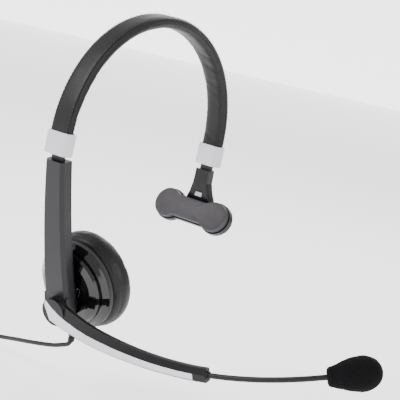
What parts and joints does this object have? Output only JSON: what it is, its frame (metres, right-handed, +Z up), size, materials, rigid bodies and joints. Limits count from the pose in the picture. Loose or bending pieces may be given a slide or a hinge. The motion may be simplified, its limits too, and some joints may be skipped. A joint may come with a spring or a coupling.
{
  "type": "office headset",
  "caption": "Corded single-sided office headset: padded headband with sliding ends, round ear cup, swinging microphone boom on a gooseneck, and a temple rest pad.",
  "frame": {"origin": "middle of the headband's underside at the crown, where it rests on the head", "axes": "+X towards the temple pad, -Y towards the wearer's front, where the microphone is, +Z up"},
  "size_m": [0.1525, 0.4105, 0.219],
  "materials": {
    "leatherette": "fine-grained black leatherette with a soft sheen",
    "cushion_leatherette": "soft black leatherette over foam",
    "pad_skin": "smooth charcoal pad skin",
    "satin_silver": "satin silver lacquer",
    "satin_charcoal": "satin charcoal lacquer",
    "satin_black": "satin black moulding",
    "gloss_black": "polished black",
    "inner_plastic": "plain dark moulding",
    "slider_nylon": "smooth black nylon",
    "steel": "bright steel",
    "copper": "enamelled copper wire",
    "film": "thin clear film",
    "speaker_fabric": "fine black woven cloth",
    "foam": "open-cell black foam",
    "gooseneck_rubber": "matte black sleeve",
    "cord_jacket": "matte dark grey cord jacket",
    "strap_fabric": "black woven strap",
    "plug_plastic": "matte black overmould",
    "plug_white": "plain white moulding"
  },
  "bodies": {
    "headband": {"band_spring": "steel", "band_cover": "leatherette", "band_cushion": "cushion_leatherette", "ear_collar": "satin_silver", "temple_collar": "satin_silver", "ear_end_block": "inner_plastic", "temple_end_block": "inner_plastic", "ear_tongue": "slider_nylon", "temple_tongue": "slider_nylon", "ear_rivets": "steel", "temple_rivets": "steel"},
    "ear_arm": {"arm_shell": "satin_charcoal", "arm_cover": "satin_black", "arm_trim": "satin_silver", "ear_detent": "steel", "arm_screws": "steel", "boom_axle": "steel", "axle_screw": "steel"},
    "ear_cup": {"cup_housing": "gloss_black", "cup_band": "gloss_black", "cup_pivot_pin": "steel", "cup_baffle": "inner_plastic", "cup_screws": "steel", "driver_basket": "inner_plastic", "driver_magnet": "steel", "driver_coil": "copper", "driver_diaphragm": "film", "cushion_plate": "inner_plastic", "ear_cushion": "cushion_leatherette", "speaker_cloth": "speaker_fabric", "cord_gland": "gooseneck_rubber", "cord_tube": "cord_jacket", "cord_coil": "cord_jacket", "cord_tie": "strap_fabric", "plug_overmould": "plug_plastic", "plug_shell": "steel", "plug_tongue": "plug_white"},
    "boom": {"boom_shell": "satin_black", "boom_cover": "satin_black", "boom_inlay": "satin_silver", "boom_ferrule": "satin_black", "gooseneck": "gooseneck_rubber", "mic_holder": "satin_black", "mic_capsule": "steel", "windscreen": "foam"},
    "temple_arm": {"temple_shell": "satin_charcoal", "temple_cover": "satin_black", "temple_detent": "steel", "temple_screws": "steel", "pad_plate": "satin_black", "pad_foam": "pad_skin"}
  },
  "joints": [
    {"name": "ear_slide", "type": "slide", "parent": "headband", "child": "ear_arm", "axis": [0.2419, 0, -0.9703], "range_m": [-0.0015, 0.02]},
    {"name": "cup_tilt", "type": "hinge", "parent": "ear_arm", "child": "ear_cup", "pos_m": [-0.03604, 0, -0.15176], "axis": [0, 1, 0], "range_deg": [-4, 4]},
    {"name": "boom_swing", "type": "hinge", "parent": "ear_arm", "child": "boom", "pos_m": [-0.04644, -0.003, -0.16552], "axis": [-0.9426, 0, -0.3338], "range_deg": [-145, 38]},
    {"name": "temple_slide", "type": "slide", "parent": "headband", "child": "temple_arm", "axis": [0, 0, -1], "range_m": [-0.0012, 0.01]}
  ]
}
